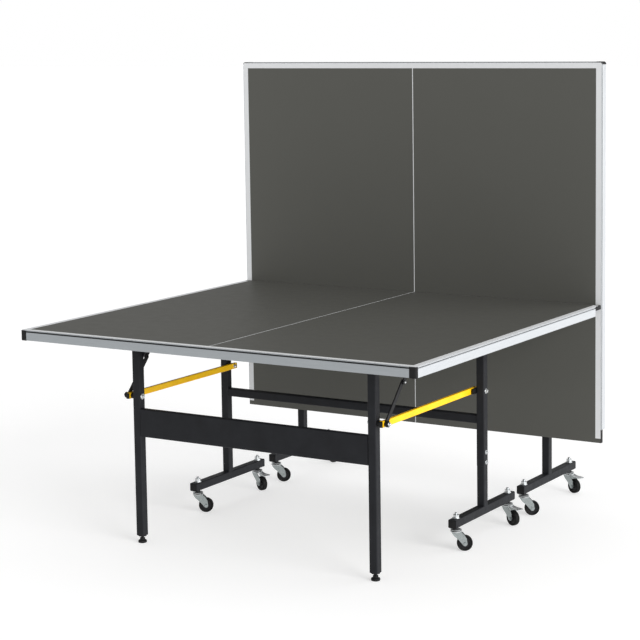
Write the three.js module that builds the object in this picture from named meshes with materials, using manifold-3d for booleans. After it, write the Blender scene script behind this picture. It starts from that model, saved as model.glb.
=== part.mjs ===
// A movable single-folding table tennis table: two identical wheeled halves that stand net end to net end.
// The front half is laid flat for play and the rear half is tipped up as a rebound wall.
// Millimetres, +Z up, X across the table, +Y from the front player towards the rebound wall.

import * as THREE from 'three';
import { mergeVertices } from 'three/addons/utils/BufferGeometryUtils.js';
import Module from 'manifold-3d';

const wasm = await Module();
wasm.setup();

// ---------------------------------------------------------------- driving dimensions

const TABLE_WIDTH = 1525;
const HALF_LENGTH = 1370;
const TABLE_HEIGHT = 760;
const BOARD_THICKNESS = 15;

const APRON_DEPTH = 35;             // playing surface down to the apron's lower edge
const APRON_TOP = 1;                // playing surface down to the apron's upper edge
const APRON_WALL = 3;
const APRON_FLANGE = 25;            // how far the flange reaches in under the board
const APRON_RETURN = 12;
const NET_CLAMP_GAP = 48;           // the side aprons stop here, so that a net post can be clamped on

const TUBE = 30;                    // square steel tube of legs, posts and T-feet
const TUBE_WALL = 2;
const TUBE_RADIUS = 4;
const CLEARANCE = 0.3;              // between pieces that touch
const SUNK = 1;                     // how far welded solids run into each other
const PAST = 1;                     // how far a cutting solid runs past the face it opens

const PIN_SIDES = 12;               // facets round a pin, a hole or a lug
const WHEEL_SIDES = 20;
const PLATE_SIDES = 4;              // facets round a quarter of a flat plate's end
const CORNER_SIDES = 2;             // facets round a tube's corner

const PIVOT_DROP = 26;              // playing surface down to the axis that a top tips about
const PIVOT_FROM_NET = 478;         // net end to that axis
const PIVOT_TO_LEG = 625;           // that axis to the legs' own hinge axis
const TUBE_SETBACK = 9;             // posts and legs stand this far outward of their hinge axes

const FRONT_POST_Y = -487;          // net line at Y = 0 while the halves are laid out below
const REAR_POST_Y = 40;

const POST_X = 532;
const POST_BELOW_PIVOT = 22;        // tipping axis down to the post's top
const LUG_THICKNESS = 8;            // the post's lug, between the side rail's two ears
const LEG_X = 465;
const LEG_BELOW_HINGE = 7;
const LEG_HEAD = 20;                // solid length at the top of a leg
const BOLT_HEIGHT = 514;            // both strut bolts of the flat half
const CROSSBAR_HEIGHT = 415;
const CROSSBAR_DEPTH = 25;
const PANEL_HEIGHT = 425;
const PANEL_SIZE = 98;
const PANEL_DEPTH = 20;

const TFOOT_LENGTH = 450;
const TFOOT_BOTTOM = 83;
const UPRIGHT = 29;                 // the base's own short upright, which the post slides down onto
const UPRIGHT_TOP = 253;
const SPIGOT = 25;
const SPIGOT_TOP = 325;

const STRUT_WIDTH = 12;
const STRUT_HEIGHT = 21;
const STRUT_WALL = 1.5;
const STRUT_RADIUS = 2;
const STRUT_X = 500;
const STRUT_END = 14;               // bar left beyond each bolt

const STAY_THICKNESS = 4;
const STAY_WIDTH = 16;
const STAY_LOWER_X = 509;
const STAY_UPPER_X = 513.5;
const RIVET_RADIUS = 5.5;
const RIVET_HEAD = 2.5;
const STAY_PIN_FROM_LEG = 190;      // the stay's upper pin, measured in from the legs' hinge axis

const RAIL_STRIP = 3;               // thickness of the side rails' mounting strip
const RAIL_INNER_X = 482;
const RAIL_OUTER_X = 520;
const RAIL_PAD_X = 547;
const RAIL_OVERHANG = 30;
const EAR_RADIUS = 7.5;
const POST_EAR = 6;                 // thickness of each kind of ear
const LEG_EAR = 5;
const STAY_EAR = 4;
const POST_EAR_SPREAD = 10;         // middle of the post to the middle of each ear
const LEG_EAR_X = 485;
const STAY_EAR_X = 518;
const LUG_RADIUS = 6.5;
const PIN_RADIUS = 4;
const PIN_BORE = 4.4;
const PIN_PROUD = 2;                // a bolt's end beyond the last piece on it
const PIN_END_GAP = 4;              // a blind bore beyond the end of its pin

const HINGE_TUBE_RADIUS = 10;
const HINGE_TUBE_SIDES = 16;
const GUSSET_WIDTH = 55;
const GUSSET_DROP = 90;             // below the hinge axis
const GUSSET_THICKNESS = 5;
const LEG_BOTTOM = 27;
const FOOT_RADIUS = 15;
const FOOT_EDGE = 7;                // floor to the top of the pad's straight edge
const FOOT_TOP = 11;
const SPINDLE_TOP = 60;

const WHEEL_RADIUS = 27;
const WHEEL_WIDTH = 20;
const WHEEL_CROWN = 2;              // tread's middle above its edges
const WHEEL_BORE = 4;
const HUB_RADIUS = 9;
const TYRE_DEPTH = 7;
const WHEEL_DISH = 4;               // web's depth below the hub's face
const AXLE_RADIUS = 3.6;
const CASTER_TRAIL = 29;
const CASTER_SETBACK = 28;          // stem axis in from the end of the T-foot
const PLAIN_HEADING = THREE.MathUtils.degToRad(32);      // which way each kind of caster trails
const BRAKED_HEADING = THREE.MathUtils.degToRad(-23);
const STEM_RADIUS = 5;
const STEM_BORE = 5.6;
const STEM_TOP = 138;
const FORK_GAP = 25;
const FORK_PLATE = 2.5;
const FORK_HALF_WIDTH = 18;         // of the fork's two cheeks at the top
const FORK_TIP = 8;                 // radius round the axle
const FORK_TOP = 74;                // the bridge that joins the cheeks
const FORK_BRIDGE = 3;
const RACEWAY_RADIUS = 20;
const RACEWAY_TOP = 81;             // meets the stem just under the T-foot
const RACEWAY_EDGE = [73, 77];
const PEDAL_PIVOT = [8, 66];        // X out from the stem and height, of the brake pedal's hinge
const PEDAL_ARM = 34;               // hinge to the bend over the wheel
const PEDAL_REACH = 60;             // hinge to the tread's edge
const PEDAL_THICKNESS = 3.5;
const PEDAL_WIDTH = 20;
const TREAD_LENGTH = 18;
const TREAD_WIDTH = 30;

// ---------------------------------------------------------------- derived dimensions

const PIVOT_HEIGHT = TABLE_HEIGHT - PIVOT_DROP;
const BOLT_DROP = PIVOT_HEIGHT - BOLT_HEIGHT;
const TFOOT_TOP = TFOOT_BOTTOM + TUBE;
const POST_TOP = PIVOT_HEIGHT - POST_BELOW_PIVOT;
const LEG_TOP = PIVOT_HEIGHT - LEG_BELOW_HINGE;
const BOARD_HALF_WIDTH = TABLE_WIDTH / 2 - APRON_WALL - CLEARANCE;
const BOARD_UNDERSIDE = PIVOT_DROP - BOARD_THICKNESS;     // above the tipping axis
const STRIP_UNDERSIDE = BOARD_UNDERSIDE - CLEARANCE - RAIL_STRIP;
const STRUT_SPAN = PIVOT_TO_LEG;
const CASTER_OFFSET = TFOOT_LENGTH / 2 - CASTER_SETBACK;

// The stay is straight when the table is flat and folds double when it is tipped up.
const STAY_REACH = TUBE_SETBACK + STAY_PIN_FROM_LEG;
const STAY_RISE = BOLT_DROP - TUBE_SETBACK;
const STAY_SPAN = Math.hypot(STAY_REACH, STAY_RISE);
const STAY_SLOPE = Math.atan2(STAY_RISE, STAY_REACH);
const STAY_DIFFERENCE = BOLT_DROP - STAY_PIN_FROM_LEG;
const STAY_LOWER = (STAY_SPAN + STAY_DIFFERENCE) / 2;
const STAY_UPPER = (STAY_SPAN - STAY_DIFFERENCE) / 2;

// ---------------------------------------------------------------- materials

function finish(color, roughness, metalness) {
  return new THREE.MeshStandardMaterial({ color, roughness, metalness });
}

const BOARD_PAINT = finish(0x54544f, 0.55, 0);
const ALUMINIUM = finish(0xc9ccd0, 0.35, 0.9);
const FRAME_PAINT = finish(0x2b2d30, 0.45, 0.2);
const STRUT_PAINT = finish(0xf2c21b, 0.4, 0.1);
const STAY_PAINT = finish(0x141516, 0.5, 0.3);
const ZINC = finish(0xb9bdc2, 0.3, 1);
const TYRE = finish(0x161616, 0.75, 0);
const BLACK_PLASTIC = finish(0x1b1b1c, 0.6, 0);

// ---------------------------------------------------------------- solids

const MERGE_DISTANCE = 1e-4;

function toSolid(geometry) {
  const bare = geometry.index ? geometry.toNonIndexed() : geometry.clone();
  bare.deleteAttribute('normal');
  bare.deleteAttribute('uv');
  const merged = mergeVertices(bare, MERGE_DISTANCE);
  const mesh = new wasm.Mesh({
    numProp: 3,
    vertProperties: merged.attributes.position.array,
    triVerts: new Uint32Array(merged.index.array),
  });
  return new wasm.Manifold(mesh);
}

function toGeometry(solid) {
  const mesh = solid.getMesh();
  const geometry = new THREE.BufferGeometry();
  geometry.setAttribute('position', new THREE.BufferAttribute(mesh.vertProperties, 3));
  geometry.setIndex(new THREE.BufferAttribute(mesh.triVerts, 1));
  geometry.computeVertexNormals();
  return geometry;
}

function shape(solids, bores = []) {
  let result = toSolid(solids[0]);
  for (const geometry of solids.slice(1)) result = result.add(toSolid(geometry));
  for (const geometry of bores) result = result.subtract(toSolid(geometry));
  return toGeometry(result);
}

function box(xRange, yRange, zRange) {
  const size = [xRange, yRange, zRange].map(([low, high]) => Math.abs(high - low));
  const centre = [xRange, yRange, zRange].map(([low, high]) => (low + high) / 2);
  return new THREE.BoxGeometry(...size).translate(...centre);
}

function around(centre, size) {
  return [centre - size / 2, centre + size / 2];
}

function roundedOutline(width, height, radius) {
  const x = width / 2 - radius;
  const y = height / 2 - radius;
  const outline = new THREE.Shape();
  outline.absarc(x, y, radius, 0, Math.PI / 2);
  outline.absarc(-x, y, radius, Math.PI / 2, Math.PI);
  outline.absarc(-x, -y, radius, Math.PI, Math.PI * 1.5);
  outline.absarc(x, -y, radius, Math.PI * 1.5, Math.PI * 2);
  return outline;
}

// A rounded bar standing on the XY plane: width along X, height along Y, length up Z.
function bar(width, height, length, radius) {
  return new THREE.ExtrudeGeometry(roundedOutline(width, height, radius), {
    depth: length,
    bevelEnabled: false,
    curveSegments: CORNER_SIDES,
  });
}

function barX(width, height, length, radius) {
  return bar(width, height, length, radius)
    .rotateX(Math.PI / 2)
    .rotateZ(Math.PI / 2)
    .translate(-length / 2, 0, 0);
}

function barY(width, height, length, radius) {
  return bar(width, height, length, radius).rotateX(-Math.PI / 2).translate(0, -length / 2, 0);
}

function rodX(radius, fromX, toX, segments = PIN_SIDES) {
  const length = Math.abs(toX - fromX);
  return new THREE.CylinderGeometry(radius, radius, length, segments)
    .rotateZ(Math.PI / 2)
    .translate((fromX + toX) / 2, 0, 0);
}

function rodY(radius, length) {
  return new THREE.CylinderGeometry(radius, radius, length, PIN_SIDES);
}

function rodZ(radius, fromZ, toZ) {
  return new THREE.CylinderGeometry(radius, radius, toZ - fromZ, PIN_SIDES)
    .rotateX(Math.PI / 2)
    .translate(0, 0, (fromZ + toZ) / 2);
}

// A round-ended plate in the YZ plane, its first hole at the origin and its second one straight up.
function linkPlate(x, thickness, width, span) {
  const outline = new THREE.Shape();
  outline.absarc(0, span, width / 2, 0, Math.PI);
  outline.absarc(0, 0, width / 2, Math.PI, Math.PI * 2);
  const settings = { depth: thickness, bevelEnabled: false, curveSegments: PLATE_SIDES };
  return new THREE.ExtrudeGeometry(outline, settings)
    .rotateX(Math.PI / 2)
    .rotateZ(Math.PI / 2)
    .translate(x - thickness / 2, 0, 0);
}

function place(parent, name, geometry, material) {
  const mesh = new THREE.Mesh(geometry, material);
  mesh.name = name;
  parent.add(mesh);
}

function frameAt(parent, x, y, z, tilt = 0) {
  const group = new THREE.Group();
  group.position.set(x, y, z);
  group.rotation.x = tilt;
  parent.add(group);
  return group;
}

// Every piece below is drawn for one half: `out` is +1 or -1, the way from the net to the outer end along Y.
const SIDES = [['left', -1], ['right', 1]];

// ---------------------------------------------------------------- the top, about its tipping axis

function board(out) {
  const netEnd = -out * PIVOT_FROM_NET;
  const outerEnd = out * (HALF_LENGTH - PIVOT_FROM_NET - APRON_WALL - CLEARANCE);
  return box(
    [-BOARD_HALF_WIDTH, BOARD_HALF_WIDTH],
    [Math.min(netEnd, outerEnd), Math.max(netEnd, outerEnd)],
    [BOARD_UNDERSIDE, PIVOT_DROP],
  );
}

// The apron's section: distance in from its outer face, and height above the tipping axis.
function apronSection() {
  const top = PIVOT_DROP - APRON_TOP;
  const bottom = PIVOT_DROP - APRON_DEPTH;
  const flangeTop = BOARD_UNDERSIDE - CLEARANCE;
  const flangeBottom = flangeTop - APRON_WALL;
  return [
    [0, bottom],
    [APRON_RETURN, bottom],
    [APRON_RETURN, bottom + APRON_WALL],
    [APRON_WALL, bottom + APRON_WALL],
    [APRON_WALL, flangeBottom],
    [APRON_FLANGE, flangeBottom],
    [APRON_FLANGE, flangeTop],
    [APRON_WALL, flangeTop],
    [APRON_WALL, top],
    [0, top],
  ];
}

function apronBar(length) {
  const outline = new THREE.Shape(apronSection().map(([inward, up]) => new THREE.Vector2(-inward, up)));
  return new THREE.ExtrudeGeometry(outline, { depth: length, bevelEnabled: false }).rotateX(Math.PI / 2);
}

// A prism with a 45 degree end at the outer corner, which mitres the side and end aprons.
function mitrePrism(points) {
  const outline = new THREE.Shape(points.map(([x, y]) => new THREE.Vector2(x, y)));
  return new THREE.ExtrudeGeometry(outline, { depth: 2 * APRON_DEPTH, bevelEnabled: false })
    .translate(0, 0, -APRON_DEPTH);
}

function mitred(barGeometry, points) {
  return toGeometry(toSolid(barGeometry).intersect(toSolid(mitrePrism(points))));
}

function sideApron(side, out) {
  const faceX = TABLE_WIDTH / 2;
  const netY = NET_CLAMP_GAP - PIVOT_FROM_NET;
  const cornerY = HALF_LENGTH - PIVOT_FROM_NET;
  const inX = faceX - APRON_FLANGE - PAST;
  const inY = cornerY - APRON_FLANGE - PAST - CLEARANCE;
  const barGeometry = apronBar(cornerY - netY).translate(faceX, cornerY, 0);
  const plan = [[inX, netY], [faceX + PAST, netY], [faceX + PAST, cornerY + PAST - CLEARANCE], [inX, inY]];
  const piece = mitred(barGeometry, plan);
  return turned(piece, side, out);
}

function endApron(out) {
  const faceX = TABLE_WIDTH / 2;
  const faceY = HALF_LENGTH - PIVOT_FROM_NET;
  const reach = APRON_FLANGE + PAST;
  const barGeometry = apronBar(TABLE_WIDTH).rotateZ(Math.PI / 2).translate(-faceX, faceY, 0);
  const plan = [
    [-faceX - PAST, faceY + PAST],
    [-faceX + reach, faceY - reach],
    [faceX - reach, faceY - reach],
    [faceX + PAST, faceY + PAST],
  ];
  const piece = mitred(barGeometry, plan);
  return turned(piece, 1, out);
}

// Pieces drawn for the right side of an outward +Y half are mirrored by a half turn or a flip of the solid.
function turned(geometry, side, out) {
  return toGeometry(toSolid(geometry).scale([side, out, 1]));
}

// The steel rail under each side of the board carries the three hinge points of its side.
function sideRail(side, out) {
  const strip = [STRIP_UNDERSIDE, STRIP_UNDERSIDE + RAIL_STRIP];
  const ear = (x, thickness, y, z) => [
    rodX(EAR_RADIUS, ...around(x, thickness)).translate(0, y, z),
    box(around(x, thickness), around(y, 2 * EAR_RADIUS), [z, strip[1]]),
  ];
  const pin = (fromX, toX, y, z) => rodX(PIN_RADIUS, fromX, toX).translate(0, y, z);
  const innerEarX = POST_X - POST_EAR_SPREAD;
  const outerEarX = POST_X + POST_EAR_SPREAD;
  const stayPinY = PIVOT_TO_LEG - STAY_PIN_FROM_LEG;
  const solids = [
    box([RAIL_INNER_X, RAIL_OUTER_X], [-RAIL_OVERHANG, PIVOT_TO_LEG + RAIL_OVERHANG], strip),
    box([RAIL_OUTER_X - SUNK, RAIL_PAD_X], [-RAIL_OVERHANG, RAIL_OVERHANG], strip),
    ...ear(innerEarX, POST_EAR, 0, 0),
    ...ear(outerEarX, POST_EAR, 0, 0),
    pin(innerEarX, outerEarX, 0, 0),
    ...ear(LEG_EAR_X, LEG_EAR, PIVOT_TO_LEG, 0),
    pin(LEG_X, LEG_EAR_X, PIVOT_TO_LEG, 0),
    ...ear(STAY_EAR_X, STAY_EAR, stayPinY, -TUBE_SETBACK),
    pin(STAY_UPPER_X - STAY_THICKNESS / 2, STAY_EAR_X, stayPinY, -TUBE_SETBACK),
  ];
  return turned(shape(solids), side, out);
}

// ---------------------------------------------------------------- the leg frame, about its hinge axis

function legFrame(out) {
  const height = LEG_TOP - LEG_BOTTOM;
  const foot = LEG_BOTTOM - PIVOT_HEIGHT;
  const hingeLength = 2 * LEG_X + TUBE;
  const solids = [rodX(HINGE_TUBE_RADIUS, ...around(0, hingeLength), HINGE_TUBE_SIDES)];
  const bores = [];
  for (const [, side] of SIDES) {
    const x = side * LEG_X;
    const y = out * TUBE_SETBACK;
    const inner = TUBE - 2 * TUBE_WALL;
    solids.push(bar(TUBE, TUBE, height, TUBE_RADIUS).translate(x, y, foot));
    solids.push(gusset(side));
    const pinStart = side * (LEG_X + TUBE / 2 - SUNK);
    const pinEnd = side * (STAY_LOWER_X + STAY_THICKNESS / 2 + PIN_PROUD);
    solids.push(rodX(PIN_RADIUS, pinStart, pinEnd).translate(0, y, -BOLT_DROP));
    bores.push(box(around(x, inner), around(y, inner), [foot - PAST, foot + height - LEG_HEAD]));
    const boreStart = side * (LEG_X - PIN_END_GAP);
    bores.push(rodX(PIN_BORE, boreStart, side * (hingeLength / 2 + PAST)));
  }
  return shape(solids, bores);
}

function gusset(side) {
  const x = LEG_X - TUBE / 2 + SUNK;
  const outline = new THREE.Shape([
    new THREE.Vector2(x, 0),
    new THREE.Vector2(x - GUSSET_WIDTH, 0),
    new THREE.Vector2(x, -GUSSET_DROP),
  ]);
  const plate = new THREE.ExtrudeGeometry(outline, { depth: GUSSET_THICKNESS, bevelEnabled: false })
    .rotateX(Math.PI / 2)
    .translate(0, GUSSET_THICKNESS / 2, 0);
  return side > 0 ? plate : plate.rotateZ(Math.PI);
}

function legPanel(out) {
  const length = 2 * LEG_X - TUBE - 2 * CLEARANCE;
  const y = out * (TUBE_SETBACK + (TUBE - PANEL_DEPTH) / 2);
  const z = PANEL_HEIGHT - PIVOT_HEIGHT;
  const wall = 2 * TUBE_WALL;
  const outer = barX(PANEL_DEPTH, PANEL_SIZE, length, TUBE_RADIUS);
  const through = around(0, length + 2 * PAST);
  const inner = box(through, around(0, PANEL_DEPTH - wall), around(0, PANEL_SIZE - wall));
  return shape([outer], [inner]).translate(0, y, z);
}

// A levelling foot: a moulded pad on a threaded spindle that runs up inside the leg.
function levellingFoot() {
  const profile = [
    [0, 0],
    [FOOT_RADIUS, 0],
    [FOOT_RADIUS, FOOT_EDGE],
    [FOOT_RADIUS - STEM_RADIUS, FOOT_TOP],
    [STEM_RADIUS, FOOT_TOP],
    [STEM_RADIUS, SPINDLE_TOP],
    [0, SPINDLE_TOP],
  ];
  return new THREE.LatheGeometry(profile.map(([r, z]) => new THREE.Vector2(r, z)), PIN_SIDES)
    .rotateX(Math.PI / 2)
    .translate(0, 0, -PIVOT_HEIGHT);
}

// ---------------------------------------------------------------- struts and stays

function strut(out) {
  const length = STRUT_SPAN + 2 * STRUT_END;
  const wall = 2 * STRUT_WALL;
  const outer = barY(STRUT_WIDTH, STRUT_HEIGHT, length, STRUT_RADIUS);
  const through = around(0, length + 2 * PAST);
  const inner = box(around(0, STRUT_WIDTH - wall), through, around(0, STRUT_HEIGHT - wall));
  const centre = out * STRUT_SPAN / 2;
  const bolt = rodX(PIN_BORE, -STRUT_WIDTH, STRUT_WIDTH);
  const bores = [
    inner.translate(0, centre, 0),
    bolt.clone(),
    bolt.clone().translate(0, out * STRUT_SPAN, 0),
  ];
  return shape([outer.translate(0, centre, 0)], bores);
}

// Lower stay: turns on the leg's bolt. Its other hole is where the upper stay's rivet belongs.
function lowerStay(side) {
  const plate = linkPlate(side * STAY_LOWER_X, STAY_THICKNESS, STAY_WIDTH, STAY_LOWER);
  const hole = rodX(PIN_BORE, ...around(side * STAY_LOWER_X, 2 * STAY_THICKNESS));
  return shape([plate], [hole, hole.clone().translate(0, 0, STAY_LOWER)]);
}

// Upper stay: hangs from the side rail's pin. The rivet's head stands out on its outer face.
function upperStay(side) {
  const plate = linkPlate(side * STAY_UPPER_X, STAY_THICKNESS, STAY_WIDTH, STAY_UPPER);
  const rivetTop = STAY_UPPER_X + STAY_THICKNESS / 2 + RIVET_HEAD;
  const rivet = rodX(RIVET_RADIUS, side * STAY_UPPER_X, side * rivetTop);
  const hole = rodX(PIN_BORE, ...around(side * STAY_UPPER_X, 2 * STAY_THICKNESS));
  return shape([plate, rivet], [hole.translate(0, 0, STAY_UPPER)]).translate(0, 0, -STAY_UPPER);
}

// ---------------------------------------------------------------- the trolley

function trolleyFrame(out) {
  const inner = TUBE - 2 * TUBE_WALL;
  const foot = UPRIGHT_TOP + CLEARANCE;
  const crossbarLength = 2 * POST_X;
  const solids = [barX(CROSSBAR_DEPTH, TUBE, crossbarLength, TUBE_RADIUS).translate(0, 0, CROSSBAR_HEIGHT)];
  const bores = [];
  for (const [, side] of SIDES) {
    const x = side * POST_X;
    solids.push(bar(TUBE, TUBE, POST_TOP - foot, TUBE_RADIUS).translate(x, 0, foot));
    solids.push(...pivotLug(x, out));
    const pinStart = side * (POST_X - TUBE / 2 + SUNK);
    const pinEnd = side * (STRUT_X - STRUT_WIDTH / 2 - PIN_PROUD);
    solids.push(rodX(PIN_RADIUS, pinStart, pinEnd).translate(0, 0, BOLT_HEIGHT));
    bores.push(box(around(x, inner), around(0, inner), [foot - PAST, POST_TOP - TUBE_WALL]));
    const lugBore = rodX(PIN_BORE, ...around(x, 2 * LUG_THICKNESS));
    bores.push(lugBore.translate(0, -out * TUBE_SETBACK, PIVOT_HEIGHT));
  }
  // The crossbar's hollow opens into the hollow posts.
  const hollow = around(0, CROSSBAR_DEPTH - 2 * TUBE_WALL);
  bores.push(box(around(0, crossbarLength), hollow, around(CROSSBAR_HEIGHT, inner)));
  return shape(solids, bores);
}

function pivotLug(x, out) {
  const y = -out * TUBE_SETBACK;
  return [
    rodX(LUG_RADIUS, ...around(x, LUG_THICKNESS)).translate(0, y, PIVOT_HEIGHT),
    box(around(x, LUG_THICKNESS), around(y, 2 * LUG_RADIUS), [POST_TOP - SUNK, PIVOT_HEIGHT]),
  ];
}

// The T-foot with its short upright; the post slides over the spigot and is bolted through it.
function base() {
  const inner = TUBE - 2 * TUBE_WALL;
  const middle = (TFOOT_BOTTOM + TFOOT_TOP) / 2;
  const bore = SPIGOT - 2 * TUBE_WALL;
  const solids = [
    barY(TUBE, TUBE, TFOOT_LENGTH, TUBE_RADIUS).translate(0, 0, middle),
    bar(UPRIGHT, UPRIGHT, UPRIGHT_TOP - TFOOT_TOP + SUNK, TUBE_RADIUS).translate(0, 0, TFOOT_TOP - SUNK),
    box(around(0, SPIGOT), around(0, SPIGOT), [UPRIGHT_TOP - SUNK, SPIGOT_TOP]),
  ];
  const bores = [
    box(around(0, inner), around(0, TFOOT_LENGTH + 2 * PAST), around(middle, inner)),
    box(around(0, bore), around(0, bore), [middle, SPIGOT_TOP + PAST]),
  ];
  for (const along of [-CASTER_OFFSET, CASTER_OFFSET]) {
    bores.push(rodZ(STEM_BORE, TFOOT_BOTTOM - PAST, TFOOT_TOP + PAST).translate(0, along, 0));
  }
  return shape(solids, bores);
}

// ---------------------------------------------------------------- casters, trailing along +X

// One cheek of the fork: it leans from under the raceway out to the axle.
function forkPlate(y) {
  const outline = new THREE.Shape();
  outline.moveTo(-FORK_HALF_WIDTH, FORK_TOP);
  outline.lineTo(-FORK_HALF_WIDTH, FORK_TOP - 4 * FORK_BRIDGE);
  outline.lineTo(CASTER_TRAIL - FORK_TIP, WHEEL_RADIUS - FORK_BRIDGE);
  outline.absarc(CASTER_TRAIL, WHEEL_RADIUS, FORK_TIP, Math.PI * 1.2, Math.PI * 2);
  outline.lineTo(FORK_HALF_WIDTH + FORK_BRIDGE, FORK_TOP - 4 * FORK_BRIDGE);
  outline.lineTo(FORK_HALF_WIDTH, FORK_TOP);
  return new THREE.ExtrudeGeometry(outline, { depth: FORK_PLATE, bevelEnabled: false, curveSegments: 3 })
    .rotateX(Math.PI / 2)
    .translate(0, y + FORK_PLATE / 2, 0);
}

function fork() {
  const [edgeLow, edgeHigh] = RACEWAY_EDGE;
  const head = [
    [0, edgeLow],
    [RACEWAY_RADIUS, edgeLow],
    [RACEWAY_RADIUS, edgeHigh],
    [STEM_RADIUS, RACEWAY_TOP],
    [STEM_RADIUS, STEM_TOP],
    [0, STEM_TOP],
  ];
  const raceway = new THREE.LatheGeometry(head.map(([r, z]) => new THREE.Vector2(r, z)), PIN_SIDES)
    .rotateX(Math.PI / 2);
  const across = FORK_GAP + 2 * FORK_PLATE;
  const axle = rodY(AXLE_RADIUS, across + 2 * FORK_PLATE).translate(CASTER_TRAIL, 0, WHEEL_RADIUS);
  const bridge = box(around(0, 2 * FORK_HALF_WIDTH), around(0, across), [FORK_TOP - FORK_BRIDGE, FORK_TOP]);
  const plateY = (FORK_GAP + FORK_PLATE) / 2;
  return shape([raceway, bridge, forkPlate(-plateY), forkPlate(plateY), axle]);
}

function wheel() {
  const half = WHEEL_WIDTH / 2;
  const web = half - WHEEL_DISH;
  const rim = WHEEL_RADIUS - TYRE_DEPTH;
  const edge = WHEEL_RADIUS - WHEEL_CROWN;
  const profile = [
    [WHEEL_BORE, -half],
    [HUB_RADIUS, -half],
    [rim, -web],
    [edge, -half],
    [WHEEL_RADIUS, 0],
    [edge, half],
    [rim, web],
    [HUB_RADIUS, half],
    [WHEEL_BORE, half],
    [WHEEL_BORE, -half],
  ];
  return new THREE.LatheGeometry(profile.map(([r, y]) => new THREE.Vector2(r, y)), WHEEL_SIDES);
}

// The pedal's arm passes over the wheel, inside the fork, and ends in a wider tread for the toe.
function brakePedal() {
  const [pivotX, pivotZ] = PEDAL_PIVOT;
  const heel = PEDAL_THICKNESS;
  const bendZ = pivotZ - PEDAL_THICKNESS / 2;
  const treadZ = pivotZ - PEDAL_THICKNESS;
  const arm = new THREE.Shape([
    new THREE.Vector2(pivotX - heel, pivotZ - heel),
    new THREE.Vector2(pivotX + PEDAL_ARM, bendZ - PEDAL_THICKNESS),
    new THREE.Vector2(pivotX + PEDAL_REACH, treadZ - PEDAL_THICKNESS / 2),
    new THREE.Vector2(pivotX + PEDAL_REACH, treadZ + PEDAL_THICKNESS / 2),
    new THREE.Vector2(pivotX + PEDAL_ARM, bendZ),
    new THREE.Vector2(pivotX - heel, pivotZ + heel),
  ]);
  const plate = new THREE.ExtrudeGeometry(arm, { depth: PEDAL_WIDTH, bevelEnabled: false })
    .rotateX(Math.PI / 2)
    .translate(0, PEDAL_WIDTH / 2, 0);
  const treadX = [pivotX + PEDAL_REACH - TREAD_LENGTH, pivotX + PEDAL_REACH];
  const tread = box(treadX, around(0, TREAD_WIDTH), [treadZ, treadZ + PEDAL_THICKNESS]);
  return shape([plate, tread]);
}

// ---------------------------------------------------------------- assembly of one half

function addTop(parent, half, out, tilt) {
  const top = frameAt(parent, 0, -out * TUBE_SETBACK, PIVOT_HEIGHT, out * tilt);
  place(top, `${half}_tabletop`, board(out), BOARD_PAINT);
  place(top, `${half}_apron_end`, endApron(out), ALUMINIUM);
  for (const [label, side] of SIDES) {
    place(top, `${half}_apron_${label}`, sideApron(side, out), ALUMINIUM);
    place(top, `${half}_side_rail_${label}`, sideRail(side, out), FRAME_PAINT);
  }
  return top;
}

// Tipping the top swings the leg frame on a parallelogram, so the legs stay upright.
function addLegs(top, half, out, tilt) {
  const legs = frameAt(top, 0, out * PIVOT_TO_LEG, 0, -out * tilt);
  place(legs, `${half}_leg_frame`, legFrame(out), FRAME_PAINT);
  place(legs, `${half}_leg_panel`, legPanel(out), FRAME_PAINT);
  for (const [label, side] of SIDES) {
    const foot = frameAt(legs, side * LEG_X, out * TUBE_SETBACK, 0);
    place(foot, `${half}_foot_${label}`, levellingFoot(), BLACK_PLASTIC);
  }
  return legs;
}

function addStays(top, legs, half, out, tilt) {
  const folded = tilt / (Math.PI / 2);
  const lowerSlope = THREE.MathUtils.lerp(STAY_SLOPE, Math.PI / 2, folded);
  const upperSlope = THREE.MathUtils.lerp(STAY_SLOPE, 0, folded);
  const pinY = out * (PIVOT_TO_LEG - STAY_PIN_FROM_LEG);
  for (const [label, side] of SIDES) {
    const lower = frameAt(legs, 0, out * TUBE_SETBACK, -BOLT_DROP, out * (Math.PI / 2 - lowerSlope));
    place(lower, `${half}_stay_lower_${label}`, lowerStay(side), STAY_PAINT);
    const upper = frameAt(top, 0, pinY, -TUBE_SETBACK, out * (Math.PI / 2 - upperSlope));
    place(upper, `${half}_stay_upper_${label}`, upperStay(side), STAY_PAINT);
  }
}

function addCaster(parent, x, y, name, braked) {
  const caster = frameAt(parent, x, y, 0);
  caster.rotation.z = braked ? BRAKED_HEADING : PLAIN_HEADING;
  place(caster, name('fork'), fork(), ZINC);
  const axle = frameAt(caster, CASTER_TRAIL, 0, WHEEL_RADIUS);
  place(axle, name('wheel'), wheel(), TYRE);
  if (braked) place(caster, name('brake_pedal'), brakePedal(), ZINC);
}

function addTrolley(parent, half, out, tilt) {
  place(parent, `${half}_trolley_frame`, trolleyFrame(out), FRAME_PAINT);
  for (const [label, side] of SIDES) {
    const x = side * POST_X;
    place(frameAt(parent, x, 0, 0), `${half}_base_${label}`, base(), FRAME_PAINT);
    const arm = frameAt(parent, side * STRUT_X, 0, BOLT_HEIGHT, out * tilt);
    place(arm, `${half}_strut_${label}`, strut(out), STRUT_PAINT);
    addCaster(parent, x, -CASTER_OFFSET, (piece) => `${half}_plain_${piece}_${label}`, false);
    addCaster(parent, x, CASTER_OFFSET, (piece) => `${half}_braked_${piece}_${label}`, true);
  }
}

function addHalf(parent, half, out, postY, tilt) {
  const trolley = frameAt(parent, 0, postY, 0);
  addTrolley(trolley, half, out, tilt);
  const top = addTop(trolley, half, out, tilt);
  const legs = addLegs(top, half, out, tilt);
  addStays(top, legs, half, out, tilt);
}

const table = new THREE.Group();
addHalf(table, 'front', -1, FRONT_POST_Y, 0);
addHalf(table, 'rear', 1, REAR_POST_Y, Math.PI / 2);

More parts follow.
